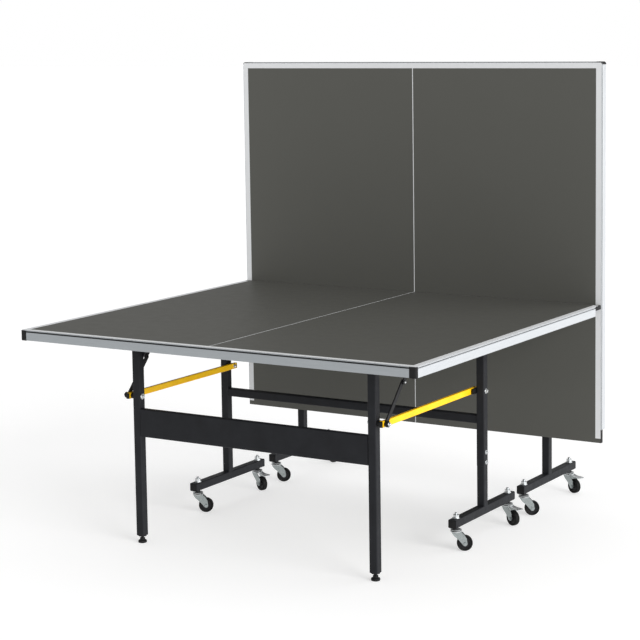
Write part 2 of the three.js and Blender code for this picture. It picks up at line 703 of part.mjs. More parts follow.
// The origin is on the floor, midway along the whole footprint.
const centre = new THREE.Box3().setFromObject(table).getCenter(new THREE.Vector3());
table.position.y = -centre.y;

export default table;
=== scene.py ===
"""Looks for the folding table tennis table: materials, fittings, light and camera around the CAD frame."""

import math

import bmesh
import bpy
from mathutils import Matrix, Vector


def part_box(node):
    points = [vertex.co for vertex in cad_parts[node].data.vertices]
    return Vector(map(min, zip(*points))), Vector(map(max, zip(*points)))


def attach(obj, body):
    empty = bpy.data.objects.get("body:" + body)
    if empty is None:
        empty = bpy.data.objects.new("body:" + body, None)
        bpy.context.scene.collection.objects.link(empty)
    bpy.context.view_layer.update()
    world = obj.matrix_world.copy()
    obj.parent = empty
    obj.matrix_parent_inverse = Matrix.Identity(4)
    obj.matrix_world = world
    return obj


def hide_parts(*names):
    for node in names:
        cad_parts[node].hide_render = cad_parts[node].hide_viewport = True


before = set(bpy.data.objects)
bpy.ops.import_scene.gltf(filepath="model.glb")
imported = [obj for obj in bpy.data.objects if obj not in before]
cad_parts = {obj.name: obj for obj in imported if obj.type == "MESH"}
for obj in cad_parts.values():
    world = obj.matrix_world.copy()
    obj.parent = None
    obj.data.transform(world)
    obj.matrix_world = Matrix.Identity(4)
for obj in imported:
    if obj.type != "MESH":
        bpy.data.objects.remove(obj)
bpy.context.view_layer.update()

# ---------------------------------------------------------------- places, in metres, in the CAD's frame

MM = 0.001
NET_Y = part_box("front_tabletop")[1].y
BOARD_EDGE_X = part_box("front_tabletop")[1].x
TABLE_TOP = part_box("front_tabletop")[1].z
TABLE_HALF_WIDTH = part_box("front_apron_end")[1].x
HALF_LENGTH = 1370 * MM

POST_X = 532 * MM
LEG_X = 465 * MM
TUBE = 30 * MM                      # outer width of the posts, legs and T-feet
POST_Y = {"front": NET_Y - 487 * MM, "rear": NET_Y + 40 * MM}
LEGS_FROM_POSTS = 625 * MM          # when a half is laid flat
OUTWARD = {"front": -1, "rear": 1}  # the way along Y that leads away from the net
BOLT_Z = 514 * MM                   # the strut's bolts, above the floor or the sole of a folded leg
TFOOT_Z = (83 * MM, 113 * MM)
TFOOT_HALF = 225 * MM
PIVOT_DROP = 26 * MM                # from the playing face down to the axis that a top tips about
PIVOT_SETBACK = 9 * MM              # that axis is this much nearer the net than the posts
PIVOT_FROM_NET = 478 * MM           # that axis from a flat top's net end
SIDES = (("left", -1), ("right", 1))
HALVES = ("front", "rear")


def pivot(half):
    """The axis that a half's top tips about, as a point at X = 0."""
    return Vector((0, POST_Y[half] - OUTWARD[half] * PIVOT_SETBACK, TABLE_TOP - PIVOT_DROP))


def top_matrix(half):
    """From a flat top, drawn with its net end at -Y and its outer end at +Y, to that top at rest."""
    turn = Matrix.Rotation(math.radians(90), 4, "X") if half == "rear" else Matrix.Rotation(math.pi, 4, "Z")
    return Matrix.Translation(pivot(half)) @ turn


def leg_origin(half):
    """The floor point between a half's feet; on the rear half it is up in the air, with the folded legs."""
    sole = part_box(f"{half}_foot_left")[0].z
    y = POST_Y[half] if half == "rear" else POST_Y[half] - LEGS_FROM_POSTS
    return Vector((0, y, sole))


# ---------------------------------------------------------------- materials

NOISE_ROUGHNESS = 0.55


class Look:
    """A procedural material: nodes on the Principled shader's base colour, roughness and bump."""

    def __init__(self, name, color, roughness, metallic=0.0, **sockets):
        self.material = bpy.data.materials.new(name)
        self.material.use_nodes = True
        self.tree = self.material.node_tree
        self.shader = self.tree.nodes["Principled BSDF"]
        self.shader.inputs["Base Color"].default_value = (*color, 1)
        self.shader.inputs["Roughness"].default_value = roughness
        self.shader.inputs["Metallic"].default_value = metallic
        for socket, value in sockets.items():
            self.shader.inputs[socket.replace("_", " ")].default_value = value
        self.place = self.node("ShaderNodeTexCoord").outputs["Object"]

    def node(self, kind, **settings):
        made = self.tree.nodes.new(kind)
        for name, value in settings.items():
            setattr(made, name, value)
        return made

    def link(self, source, target):
        self.tree.links.new(source, target)

    def noise(self, scale, detail, stretch=(1, 1, 1)):
        mapping = self.node("ShaderNodeMapping")
        mapping.inputs["Scale"].default_value = stretch
        self.link(self.place, mapping.inputs["Vector"])
        texture = self.node("ShaderNodeTexNoise")
        texture.inputs["Scale"].default_value = scale
        texture.inputs["Detail"].default_value = detail
        texture.inputs["Roughness"].default_value = NOISE_ROUGHNESS
        self.link(mapping.outputs["Vector"], texture.inputs["Vector"])
        return texture.outputs["Fac"]

    def ramp(self, value, low, high, from_low=0.3, from_high=0.7):
        """value, mapped from a noise's usual range onto low..high."""
        mapped = self.node("ShaderNodeMapRange")
        mapped.inputs["From Min"].default_value = from_low
        mapped.inputs["From Max"].default_value = from_high
        mapped.inputs["To Min"].default_value = low
        mapped.inputs["To Max"].default_value = high
        self.link(value, mapped.inputs["Value"])
        return mapped.outputs["Result"]

    def math(self, operation, first, second):
        made = self.node("ShaderNodeMath", operation=operation)
        for socket, value in zip(made.inputs, (first, second)):
            if isinstance(value, (int, float)):
                socket.default_value = value
            else:
                self.link(value, socket)
        return made.outputs["Value"]

    def distance(self, first, second):
        """How far apart two values are, on either side."""
        return self.math("ABSOLUTE", self.math("SUBTRACT", first, second), 0.0)

    def mix(self, factor, first, second):
        made = self.node("ShaderNodeMix", data_type="RGBA")
        for socket, value in zip((made.inputs[0], made.inputs[6], made.inputs[7]), (factor, first, second)):
            if isinstance(value, tuple):
                socket.default_value = (*value, 1)
            else:
                self.link(value, socket)
        return made.outputs[2]

    def color(self, source):
        self.link(source, self.shader.inputs["Base Color"])

    def mottled(self, scale, detail, dark, light):
        """A base colour that wanders between two near ones."""
        self.color(self.mix(self.ramp(self.noise(scale, detail), 0, 1), dark, light))

    def roughness(self, scale, detail, low, high):
        """A roughness that wanders between low and high."""
        self.link(self.ramp(self.noise(scale, detail), low, high), self.shader.inputs["Roughness"])

    def bump(self, height, distance, strength):
        bump = self.node("ShaderNodeBump")
        bump.inputs["Distance"].default_value = distance
        bump.inputs["Strength"].default_value = strength
        self.link(height, bump.inputs["Height"])
        self.link(bump.outputs["Normal"], self.shader.inputs["Normal"])


def powder_coat(name, dark, light, roughness, specular):
    """Powder coated steel: a fine orange peel, slightly uneven colour and rubbed patches."""
    look = Look(name, light, roughness, Specular_IOR_Level=specular)
    look.mottled(14, 4, dark, light)
    look.roughness(60, 3, roughness - 0.07, roughness + 0.08)
    look.bump(look.noise(900, 2), distance=0.12 * MM, strength=0.6)
    return look.material


def anodised(name, stretch, dark, light):
    """Clear anodised extrusion with faint drawing lines along its length."""
    look = Look(name, light, roughness=0.36, metallic=0.4)
    lines = look.noise(260, 2, stretch)
    look.color(look.mix(look.ramp(lines, 0, 1), dark, light))
    look.roughness(9, 3, 0.27, 0.4)
    look.bump(lines, distance=0.04 * MM, strength=0.4)
    return look.material


def zinc_plate(name, dark, light):
    """Plated steel with a fine spangle."""
    look = Look(name, light, roughness=0.28, metallic=0.9)
    look.mottled(160, 3, dark, light)
    look.roughness(300, 2, 0.22, 0.38)
    look.bump(look.noise(900, 2), distance=0.05 * MM, strength=0.4)
    return look.material


def moulded(name, color, roughness, specular):
    """Black moulded plastic or rubber with a faint grain and dusty patches."""
    look = Look(name, color, roughness, Specular_IOR_Level=specular)
    dusty = tuple(c + 0.005 for c in color)
    patches = look.ramp(look.noise(70, 4), 0, 1, 0.45, 0.8)
    look.color(look.mix(patches, color, dusty))
    look.roughness(180, 3, roughness - 0.08, roughness + 0.1)
    look.bump(look.noise(1200, 2), distance=0.08 * MM, strength=0.5)
    return look.material


LINE_WIDTH = 20 * MM
SIDE_LINE_STOPS = 16 * MM           # short of the net end
CENTRE_LINE_HALF_WIDTH = 1.5 * MM
BOARD_END_INSET = 3.3 * MM          # the board ends inside the wall of the end apron
PAINT_DEPTH = 1 * MM                # how far from the playing face the lines' paint still shows


def board_lines(look, along, net_end, end_line, through, face):
    """Where the white side, centre and end lines are: 1 on a line and 0 beside it.

    along is the axis that runs out from the net, and end_line is the stretch of it under the end line.
    through is the axis that runs through the board, and the playing face is at the height face on it.
    """
    split = look.node("ShaderNodeSeparateXYZ")
    look.link(look.place, split.inputs["Vector"])
    across = look.math("ABSOLUTE", split.outputs["X"], 0.0)
    reach = split.outputs[along]

    side_line = look.math("GREATER_THAN", across, BOARD_EDGE_X - LINE_WIDTH)
    clear_of_net = look.math("GREATER_THAN", look.distance(reach, net_end), SIDE_LINE_STOPS)
    side_line = look.math("MULTIPLY", side_line, clear_of_net)
    centre_line = look.math("LESS_THAN", across, CENTRE_LINE_HALF_WIDTH)
    beyond_start = look.math("GREATER_THAN", reach, min(end_line))
    before_end = look.math("LESS_THAN", reach, max(end_line))
    across_end = look.math("MULTIPLY", beyond_start, before_end)

    lines = look.math("MAXIMUM", look.math("MAXIMUM", side_line, centre_line), across_end)
    on_face = look.math("LESS_THAN", look.distance(split.outputs[through], face), PAINT_DEPTH)
    return look.math("MULTIPLY", lines, on_face)


def board_paint(name, *lines):
    """Matt, faintly speckled paint with white lines on the playing face only."""
    dark, light, flecks = (0.090, 0.090, 0.081), (0.0925, 0.0925, 0.0835), (0.108, 0.108, 0.098)
    white = (0.68, 0.69, 0.70)
    look = Look(name, dark, roughness=0.5, Specular_IOR_Level=0.1)
    paint = look.mix(look.ramp(look.noise(3, 5), 0, 1), dark, light)
    speckle = look.ramp(look.noise(420, 2), 0, 0.2, 0.45, 0.75)
    paint = look.mix(speckle, paint, flecks)
    look.color(look.mix(board_lines(look, *lines), paint, white))
    look.roughness(25, 4, 0.5, 0.55)
    look.bump(look.noise(650, 2), distance=0.08 * MM, strength=0.5)
    return look.material


FRAME_PAINT = powder_coat("frame_powder_coat", (0.010, 0.0105, 0.0125), (0.014, 0.015, 0.0178), 0.5, 0.15)
YELLOW_PAINT = powder_coat("yellow_powder_coat", (0.88, 0.49, 0.006), (0.98, 0.58, 0.010), 0.4, 0.25)
STAY_PAINT = powder_coat("stay_coating", (0.006, 0.006, 0.007), (0.010, 0.010, 0.011), 0.5, 0.25)
ZINC = zinc_plate("bright_zinc", (0.58, 0.60, 0.61), (0.68, 0.70, 0.71))
DULL_ZINC = zinc_plate("dull_zinc", (0.30, 0.33, 0.33), (0.36, 0.39, 0.39))
RUBBER = moulded("caster_tread", (0.003, 0.003, 0.003), 0.6, 0.15)
PLASTIC = moulded("black_plastic", (0.006, 0.006, 0.0065), 0.5, 0.2)
HUB_PLASTIC = moulded("wheel_hub_plastic", (0.008, 0.008, 0.009), 0.45, 0.25)
ALUMINIUM = {
    "side_flat": anodised("anodised_side", (8, 0.05, 8), (0.49, 0.51, 0.53), (0.55, 0.57, 0.59)),
    "side_upright": anodised("anodised_side_upright", (8, 8, 0.05), (0.49, 0.51, 0.53), (0.55, 0.57, 0.59)),
    # The end apron is the same extrusion as the side aprons; its darker colour is painted shade.
    "end": anodised("anodised_end_painted_shade", (0.05, 8, 8), (0.28, 0.30, 0.315), (0.32, 0.34, 0.355)),
}
LINE_START = HALF_LENGTH - BOARD_END_INSET - LINE_WIDTH     # the end line, out from the net
REAR_NET_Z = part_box("rear_tabletop")[0].z
REAR_FACE_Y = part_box("rear_tabletop")[0].y
FRONT_END_LINE = (NET_Y - LINE_START, NET_Y - HALF_LENGTH)
REAR_END_LINE = (REAR_NET_Z + LINE_START, REAR_NET_Z + HALF_LENGTH)
BOARD = {
    "front": board_paint("board_paint_front", "Y", NET_Y, FRONT_END_LINE, "Z", TABLE_TOP),
    "rear": board_paint("board_paint_rear", "Z", REAR_NET_Z, REAR_END_LINE, "Y", REAR_FACE_Y),
}

# ---------------------------------------------------------------- shapes

SMOOTH_BELOW = math.radians(32)     # edges sharper than this stay crisp
ON_AXIS = 0.0001 * MM               # a smaller radius than this is a point on the axis


def piece(name, mesh, material, body, matrix=None):
    """Makes a named object of a bmesh, puts it in place and lets it ride on its CAD body."""
    data = bpy.data.meshes.new(name)
    bmesh.ops.recalc_face_normals(mesh, faces=mesh.faces)
    mesh.to_mesh(data)
    mesh.free()
    made = bpy.data.objects.new(name, data)
    bpy.context.scene.collection.objects.link(made)
    if matrix is not None:
        data.transform(matrix)
        if matrix.determinant() < 0:
            data.flip_normals()
    data.materials.append(material)
    data.polygons.foreach_set("use_smooth", [True] * len(data.polygons))
    data.set_sharp_from_angle(angle=SMOOTH_BELOW)
    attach(made, body)
    return made


def in_mm(*points):
    """Points given in millimetres, as points in metres."""
    return [tuple(value * MM for value in point) for point in points]


def bevel(mesh, width, segments=2, angle=30):
    """Rounds every edge sharper than the angle, in degrees."""
    sharp = [e for e in mesh.edges if e.is_manifold and e.calc_face_angle() > math.radians(angle)]
    rounding = {"offset": width, "segments": segments, "profile": 0.5, "clamp_overlap": True}
    bmesh.ops.bevel(mesh, geom=sharp, affect="EDGES", **rounding)


def block(size, centre=(0, 0, 0), edge=0.0):
    mesh = bmesh.new()
    bmesh.ops.create_cube(mesh, size=1, matrix=Matrix.Translation(centre) @ Matrix.Diagonal((*size, 1)))
    if edge:
        bevel(mesh, edge)
    return mesh


def lathe(profile, segments):
    """Turns (radius, height) points about Z. A profile from the axis back to it gives a closed solid."""
    mesh = bmesh.new()
    rings = []
    for radius, height in profile:
        if radius < ON_AXIS:
            rings.append([mesh.verts.new((0, 0, height))])
            continue
        ring = []
        for i in range(segments):
            turn = 2 * math.pi * i / segments
            ring.append(mesh.verts.new((radius * math.cos(turn), radius * math.sin(turn), height)))
        rings.append(ring)
    for lower, upper in zip(rings, rings[1:]):
        for i in range(segments):
            j = i + 1
            low_edge = [lower[i % len(lower)], lower[j % len(lower)]]
            high_edge = [upper[j % len(upper)], upper[i % len(upper)]]
            corners = list(dict.fromkeys(low_edge + high_edge))
            if len(corners) > 2:
                mesh.faces.new(corners)
    return mesh


def ring_lathe(outline, segments):
    """Turns a closed (radius, height) outline that stays clear of the axis, such as a washer or a tyre."""
    mesh = bmesh.new()
    rings = []
    for i in range(segments):
        turn = 2 * math.pi * i / segments
        across, along = math.cos(turn), math.sin(turn)
        rings.append([mesh.verts.new((radius * across, radius * along, z)) for radius, z in outline])
    for i in range(segments):
        here, there = rings[i], rings[(i + 1) % segments]
        for k in range(len(outline)):
            m = (k + 1) % len(outline)
            mesh.faces.new((here[k], there[k], there[m], here[m]))
    return mesh


def both_sides(lower, *middle):
    """An outline that is the same above and below Z = 0, from its lower part and any points at Z = 0."""
    upper = [(radius, -height) for radius, height in reversed(lower)]
    return [*lower, *middle, *upper]


def prism(outline, depth, edge=0.0):
    """Extrudes a closed (x, y) outline along Z, centred on Z = 0."""
    mesh = bmesh.new()
    bottom = [mesh.verts.new((x, y, -depth / 2)) for x, y in outline]
    top = [mesh.verts.new((x, y, depth / 2)) for x, y in outline]
    mesh.faces.new(reversed(bottom))
    mesh.faces.new(top)
    for i in range(len(outline)):
        j = (i + 1) % len(outline)
        mesh.faces.new((bottom[i], bottom[j], top[j], top[i]))
    if edge:
        bevel(mesh, edge)
    return mesh


def swept(outline, start, end):
    """Sweeps a closed (x, z) outline along Y, from start to end."""
    mesh = prism(outline, end - start)
    swap = Matrix(((1, 0, 0, 0), (0, 0, 1, (start + end) / 2), (0, 1, 0, 0), (0, 0, 0, 1)))
    bmesh.ops.transform(mesh, matrix=swap, verts=mesh.verts)
    return mesh


def arc(cx, cy, radius, start, end, steps):
    """Points of an arc, with its angles in degrees."""
    turns = [math.radians(start + (end - start) * i / steps) for i in range(steps + 1)]
    return [(cx + radius * math.cos(t), cy + radius * math.sin(t)) for t in turns]


def hexagon(radius):
    return [(radius * math.cos(a), radius * math.sin(a)) for a in map(math.radians, range(0, 360, 60))]


def joined(*meshes):
    """One bmesh of several separate closed shells."""
    whole = bmesh.new()
    for mesh in meshes:
        data = bpy.data.meshes.new("part")
        mesh.to_mesh(data)
        mesh.free()
        whole.from_mesh(data)
        bpy.data.meshes.remove(data)
    return whole


def moved(mesh, x=0, y=0, z=0):
    bmesh.ops.translate(mesh, verts=mesh.verts, vec=(x, y, z))
    return mesh


def laid_down(mesh):
    """Turns what is drawn along Z to lie along Y."""
    bmesh.ops.rotate(mesh, verts=mesh.verts, matrix=Matrix.Rotation(math.radians(90), 3, "X"))
    return mesh


def put(location, direction=(0, 0, 1)):
    """To a place, with +Z turned to the direction."""
    facing = Vector((0, 0, 1)).rotation_difference(Vector(direction)).to_matrix().to_4x4()
    return Matrix.Translation(location) @ facing


# ---------------------------------------------------------------- fasteners, all standing on Z = 0


def washer(radius, rim, thickness):
    """A washer with no hole, because a fastener covers it; rim is the height of its straight side."""
    return lathe([(0, 0), (radius, 0), (radius, rim), (radius * 0.94, thickness), (0, thickness)], 28)


def bolt_head(radius, height):
    """A washer under a low hexagon head, with the bolt's end standing out of it."""
    head = moved(prism(hexagon(radius * 0.68), height, 0.5 * MM), z=height / 2 + 1.6 * MM)
    base, shoulder, tip = height + 1.4 * MM, height + 2.9 * MM, height + 3.2 * MM
    end = lathe([(0, base), (radius * 0.36, base), (radius * 0.3, shoulder), (0, tip)], 20)
    return joined(washer(radius, 1.2 * MM, 1.7 * MM), head, end)


def cap_nut(radius):
    """A domed nut on a thin washer."""
    flats = moved(prism(hexagon(radius * 0.8), 2.4 * MM, 0.4 * MM), z=2.4 * MM)
    dome = lathe([(0, 3.2 * MM), *arc(0, 3.4 * MM, radius * 0.66, 0, 90, 6)], 24)
    return joined(washer(radius, 0.8 * MM, 1.2 * MM), flats, dome)


def thread(radius, length, pitch=1.6 * MM):
    """A threaded stem: stacked ridges read as a thread at this size."""
    profile = [(0, 0), (radius, 0)]
    for i in range(int(length / pitch)):
        base = i * pitch
        profile += [(radius * 0.84, base + pitch * 0.5), (radius, base + pitch)]
    profile += [(radius * 0.8, length + 0.6 * MM), (0, length + 0.6 * MM)]
    return lathe(profile, 20)


def sleeve(inner, outer, height):
    """A plain ring."""
    return ring_lathe([(inner, 0), (outer, 0), (outer, height), (inner, height)], 28)


# ---------------------------------------------------------------- CAD pieces that keep their shape


def repaint(node, material):
    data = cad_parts[node].data
    data.materials.clear()
    data.materials.append(material)


for half in HALVES:
    repaint(f"{half}_tabletop", BOARD[half])
    for part in ("leg_frame", "leg_panel", "trolley_frame"):
        repaint(f"{half}_{part}", FRAME_PAINT)
    for label, side in SIDES:
        repaint(f"{half}_base_{label}", FRAME_PAINT)
        repaint(f"{half}_side_rail_{label}", FRAME_PAINT)
        repaint(f"{half}_strut_{label}", YELLOW_PAINT)
        repaint(f"{half}_stay_lower_{label}", STAY_PAINT)
        repaint(f"{half}_stay_upper_{label}", STAY_PAINT)

# ---------------------------------------------------------------- aprons and corner caps
# They are drawn on a flat top, with heights measured from its tipping axis.

APRON_BOTTOM = -9 * MM
APRON_WALL = 3 * MM
APRON_FLANGE = 24 * MM              # how far the flange under the board reaches in
APRON_INSET = 0.4 * MM              # the aprons' outer faces lie inside those of the corner caps
FLANGE = (7.6 * MM, 10.6 * MM)      # its lower and upper face
HEM = (10 * MM, 2 * MM)             # how far the turned-in lower edge reaches in, and its thickness
BEAD_TOP = PIVOT_DROP - 0.2 * MM
BEAD_RADIUS = 1.5 * MM
GROOVE = (18.5 * MM, 22.3 * MM)
GROOVE_DEPTH = 2.1 * MM
GROOVE_CHAMFER = 0.4 * MM
GROOVE_SHADE_RECESS = 0.3 * MM             # the face of the black strip of painted shade, behind the extrusion's
# Painted shade in the groove: a black strip, taller on the shaded end apron than on the lit sides.
GROOVE_SHADE_HEIGHT = {"side": 0.9 * MM, "end": 3.7 * MM}
STRIP_BOTTOM = PIVOT_DROP - 15 * MM
NET_CLAMP_GAP = 48 * MM             # the side aprons stop this far short of the net
CAP_END_REACH = 25 * MM             # how much of the end apron a corner cap covers, and of the side apron
CAP_SIDE_REACH = 10 * MM
CAP_WALL = 4 * MM
CAP_RADIUS = 9 * MM
CAP_HEIGHTS = (APRON_BOTTOM - 0.6 * MM, PIVOT_DROP - 1.2 * MM)
TUCKED_IN = 3 * MM                  # how far each apron runs on inside its corner cap


def apron_outline():
    """The extrusion's section: distance in from the outer face, and height."""
    low, high = GROOVE
    hem_reach, hem_top = HEM[0], APRON_BOTTOM + HEM[1]
    bead = arc(BEAD_RADIUS, BEAD_TOP - BEAD_RADIUS, BEAD_RADIUS, 90, 240, 8)
    groove = [(GROOVE_DEPTH, high), (GROOVE_DEPTH, low), (GROOVE_CHAMFER, low), (0, low - GROOVE_CHAMFER)]
    lip = arc(BEAD_RADIUS, APRON_BOTTOM + BEAD_RADIUS, BEAD_RADIUS, 180, 270, 5)
    hem = [(hem_reach, APRON_BOTTOM), (hem_reach, hem_top), (APRON_WALL, hem_top)]
    flange_under = [(APRON_WALL, FLANGE[0]), (APRON_FLANGE, FLANGE[0])]
    flange_over = [(APRON_FLANGE, FLANGE[1]), (APRON_WALL, FLANGE[1])]
    top = (APRON_WALL, BEAD_TOP - BEAD_RADIUS)
    return [*bead, *groove, *lip, *hem, *flange_under, *flange_over, top]


def apron_bar(start, end):
    """The section swept along Y, with its outer face just inside X = 0, going in towards -X."""
    return swept([(-inward - APRON_INSET, up) for inward, up in apron_outline()], start, end)


def groove_shade_strip(start, end, height):
    """A black strip in the extrusion's groove, drawn along Y like the bar: painted shade for the groove."""
    depth = GROOVE_DEPTH - GROOVE_SHADE_RECESS
    centre = (-APRON_INSET - GROOVE_SHADE_RECESS - depth / 2, (start + end) / 2, sum(GROOVE) / 2)
    return block((depth, end - start, height), centre)


def edge_strip(start, end):
    """The black strip on the board's own edge beside the net, where the side apron stops."""
    top = BEAD_TOP - 0.2 * MM
    outer, chamfered = -1.2 * MM, -2.2 * MM
    outline = [(outer, STRIP_BOTTOM), (outer, top - 1 * MM), (chamfered, top)]
    outline += [(-APRON_WALL, top), (-APRON_WALL, STRIP_BOTTOM)]
    return swept(outline, start, end)


def corner_cap():
    """A moulded corner over the ends of two aprons, drawn at the +X, +Y corner, the end apron along X."""
    corner = reversed(arc(-CAP_RADIUS, -CAP_RADIUS, CAP_RADIUS, 0, 90, 8))
    outline = [(-CAP_END_REACH, 0), *corner, (0, -CAP_SIDE_REACH)]
    outline += [(-CAP_WALL, -CAP_SIDE_REACH), (-CAP_WALL, -CAP_WALL), (-CAP_END_REACH, -CAP_WALL)]
    low, high = CAP_HEIGHTS
    return moved(prism(outline, high - low, 0.9 * MM), z=(low + high) / 2)


def edge_side(half, label, side):
    """The apron, the black strip of painted shade in its groove, the strip beside the net and the corner
    cap on one side of a top.
    """
    # The front half is turned round, so its right side is drawn on the -X side of the flat top.
    drawn = side * OUTWARD[half]
    body = f"{half}_top"
    metal = ALUMINIUM["side_upright" if half == "rear" else "side_flat"]
    mirror = Matrix.Scale(drawn, 4, (1, 0, 0))
    outer = HALF_LENGTH - PIVOT_FROM_NET
    at_side = top_matrix(half) @ Matrix.Translation((drawn * TABLE_HALF_WIDTH, 0, 0)) @ mirror
    at_corner = top_matrix(half) @ Matrix.Translation((drawn * TABLE_HALF_WIDTH, outer, 0)) @ mirror
    start, end = NET_CLAMP_GAP - PIVOT_FROM_NET, outer - CAP_SIDE_REACH + TUCKED_IN

    bar = apron_bar(start, end)
    made = piece(f"{half}_apron_{label}_extrusion", bar, metal, body, at_side)
    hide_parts(f"{half}_apron_{label}")
    # A black strip in the groove is painted shade.
    painted_shade = groove_shade_strip(start, end, GROOVE_SHADE_HEIGHT["side"])
    piece(f"{half}_apron_{label}_inlay", painted_shade, PLASTIC, body, at_side)
    strip = edge_strip(-PIVOT_FROM_NET, start - 0.2 * MM)
    piece(f"{half}_edge_strip_{label}", strip, PLASTIC, body, at_side)
    piece(f"{half}_corner_cap_{label}", corner_cap(), PLASTIC, body, at_corner)


def edge_end(half):
    """The end apron of a top and the black strip of painted shade in its groove."""
    body = f"{half}_top"
    reach = TABLE_HALF_WIDTH - CAP_END_REACH + TUCKED_IN
    to_end = Matrix.Translation((0, HALF_LENGTH - PIVOT_FROM_NET, 0))
    at_end = top_matrix(half) @ to_end @ Matrix.Rotation(math.radians(90), 4, "Z")
    bar = apron_bar(-reach, reach)
    made = piece(f"{half}_apron_end_extrusion", bar, ALUMINIUM["end"], body, at_end)
    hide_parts(f"{half}_apron_end")
    # A black strip in the groove is painted shade.
    painted_shade = groove_shade_strip(-reach, reach, GROOVE_SHADE_HEIGHT["end"])
    piece(f"{half}_apron_end_painted_shade", painted_shade, PLASTIC, body, at_end)


for half in HALVES:
    for label, side in SIDES:
        edge_side(half, label, side)
    edge_end(half)

# ---------------------------------------------------------------- casters
# A caster is drawn with its stem on the Z axis, its wheel trailing towards +X and the floor at Z = 0.

CASTER_OFFSET = 197 * MM            # from the post to each stem
CASTER_TRAIL = 29 * MM
CASTER_HEADING = {"plain": math.radians(32), "braked": math.radians(-23)}
WHEEL_RADIUS = 27 * MM
TYRE_HALF = 9.5                     # half the tyre's width, in millimetres
HUB_HALF = 8                        # half the width of the hub's rim, in millimetres
FORK_SIDE = 13.7 * MM               # middle of the fork to the middle of each cheek
STEEL = 2.4 * MM                    # the fork's sheet
PEDAL_PIVOT = (8 * MM, 66 * MM)
PEDAL_HALF_STEEL = 1.2              # half the lever's sheet, in millimetres


def fork_cheek(y):
    """One cheek of a caster fork: it bulges under the raceway and narrows down to the axle."""
    outline = in_mm((-14, 69), (-15, 64), (-8, 54), (7, 41))
    outline += arc(CASTER_TRAIL, WHEEL_RADIUS, 8 * MM, 205, 380, 10)
    outline += in_mm((35, 44), (28, 56), (18, 65), (16, 69))
    return moved(laid_down(prism(outline, STEEL, 0.6 * MM)), y=y)


def caster_raceway():
    """Two rounded, pressed cups back to back, with the ball track's dark gap between them, and the stem."""
    lower = in_mm((0, 64), (13, 64), (17, 64.8), (19.4, 66.6), (19.8, 68.6))
    lower += in_mm((18.6, 70.2), (16, 70.8), (0, 70.8))
    upper = in_mm((0, 71.8), (15.6, 71.8), (18.6, 72.6), (19.2, 74), (17.6, 75.6), (13, 76.8))
    neck = in_mm((6, 77.2), (5, 82.6), (0, 82.6))
    stem = moved(thread(5 * MM, 49 * MM), z=82.4 * MM)
    return joined(lathe(lower, 36), lathe(upper + neck, 36), stem)


def caster_fork():
    """Two pressed cheeks under the raceway, and the axle with its nuts."""
    bridge = block((31 * MM, 2 * FORK_SIDE + STEEL, STEEL), (0, 0, 65 * MM), 0.8 * MM)
    axle = lathe(in_mm((0, -18), (3, -18), (3.4, -17), (3.4, 17), (0, 17)), 20)
    nuts = []
    for way in (-1, 1):
        nut = prism(hexagon(5.2 * MM), 4 * MM, 0.5 * MM)
        nuts.append(moved(nut, z=way * (FORK_SIDE + 3.2 * MM)))
    lying = moved(laid_down(joined(axle, *nuts)), CASTER_TRAIL, 0, WHEEL_RADIUS)
    return joined(bridge, fork_cheek(-FORK_SIDE), fork_cheek(FORK_SIDE), lying)


def caster_gap_shade():
    """Black rings of painted shade: one in the gap between the raceway's two cups, and a collar round the
    stem above them, under the T-foot.
    """
    cup_gap_shade = ring_lathe(in_mm((6, 70.6), (17, 70.6), (17, 72), (6, 72)), 32)
    collar = ring_lathe(in_mm((5.2, 77.4), (9, 77.4), (8, 82.6), (5.2, 82.6)), 28)
    return joined(cup_gap_shade, collar)


def caster_tyre():
    """A rubber tread with a slightly crowned face and rounded shoulders."""
    r, half = WHEEL_RADIUS / MM, TYRE_HALF
    shoulder = in_mm((r - 8, 1 - half), (r - 3, -half), (r - 1, 1.4 - half), (r - 0.2, 4 - half))
    return ring_lathe(both_sides(shoulder, (WHEEL_RADIUS, 0)), 48)


def caster_hub():
    """A dished hub with a raised boss and a rim inside the tyre."""
    r, half = WHEEL_RADIUS / MM - 7.8, HUB_HALF
    boss = in_mm((3.9, -half - 3), (8, -half - 3), (9, 1 - half), (10, 3 - half))
    rim = in_mm((r - 3, 3 - half), (r - 2, -half), (r, -half))
    return ring_lathe(both_sides(boss + rim), 40)


def brake_pedal():
    """A pressed lever over the wheel, with turned-up edges, that ends in a broad tread."""
    pivot_x, pivot_z = PEDAL_PIVOT
    # In millimetres: distance out from the hinge, height, half width and how far the edges turn up.
    hinge = [(-3.4, 0.6, 8.5, 1.0), (10, 0.4, 9.5, 1.6)]
    arm = [(24, -0.6, 9.5, 1.6), (36, -1.4, 9.0, 1.4)]
    tread = [(46, -1.8, 12.5, 0.8), (55, -2.2, 14.5, 0.2), (59.5, -3.0, 13.5, -0.6)]
    mesh = bmesh.new()
    rings = []
    for along, height, half_width, edge in hinge + arm + tread:
        ring = []
        for lift, sides in ((-PEDAL_HALF_STEEL, (-1, 0, 1)), (PEDAL_HALF_STEEL, (1, 0, -1))):
            for across in sides:
                z = pivot_z + (height + lift + edge * abs(across)) * MM
                ring.append(mesh.verts.new((pivot_x + along * MM, across * half_width * MM, z)))
        rings.append(ring)
    for here, there in zip(rings, rings[1:]):
        for k in range(len(here)):
            m = (k + 1) % len(here)
            mesh.faces.new((here[k], here[m], there[m], there[k]))
    mesh.faces.new(list(reversed(rings[0])))
    mesh.faces.new(rings[-1])
    bevel(mesh, 0.5 * MM, 1, 50)
    return mesh


def stem_nut():
    """The nut and washer that hold a stem down on the T-foot."""
    nut = moved(prism(hexagon(11 * MM), 10 * MM, 1.2 * MM), z=6.7 * MM)
    return joined(sleeve(5.4 * MM, 13 * MM, 1.6 * MM), nut)


